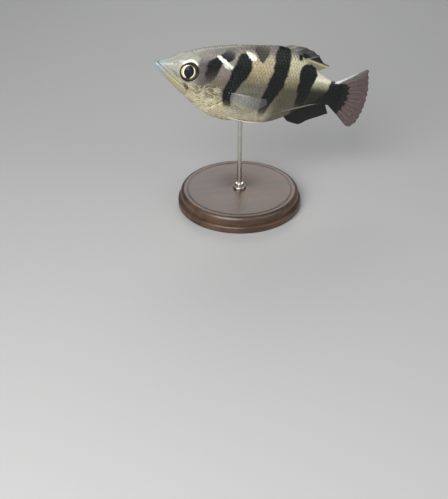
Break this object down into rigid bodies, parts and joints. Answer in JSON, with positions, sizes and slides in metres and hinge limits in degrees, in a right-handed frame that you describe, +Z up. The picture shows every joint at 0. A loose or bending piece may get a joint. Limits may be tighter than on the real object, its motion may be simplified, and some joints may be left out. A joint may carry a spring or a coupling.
{
  "type": "banded archerfish model",
  "caption": "Life-size banded archerfish, head tilted up, fins folded back, held over a round base by one upright rod.",
  "frame": {"origin": "centre of the round base's flat underside", "axes": "+X towards the tail, -X the way the fish faces, -Y out of its left side, +Z up"},
  "size_m": [0.1182, 0.068, 0.0929],
  "materials": {
    "scaled_skin": "wet silver-cream scaled skin with slanting black bars",
    "fin_membrane": "thin rayed fin membrane, black on the back and anal fins, smoky on the others",
    "eye": "wet black eye with a pale gold ring",
    "stand_wood": "dark satin turned wood",
    "stand_metal": "satin steel rod and collar"
  },
  "bodies": {
    "root": {"head": "scaled_skin", "upper_jaw": "scaled_skin", "lower_jaw": "scaled_skin", "operculum_left": "scaled_skin", "operculum_right": "scaled_skin", "trunk": "scaled_skin", "tail_stalk": "scaled_skin", "eye_left": "eye", "eye_right": "eye", "dorsal_fin_spiny": "fin_membrane", "dorsal_fin_soft": "fin_membrane", "anal_fin": "fin_membrane", "caudal_fin": "fin_membrane", "pectoral_fin_left": "fin_membrane", "pectoral_fin_right": "fin_membrane", "pelvic_fin_left": "fin_membrane", "pelvic_fin_right": "fin_membrane", "stand_base": "stand_wood", "stand_rod": "stand_metal"}
  },
  "joints": []
}
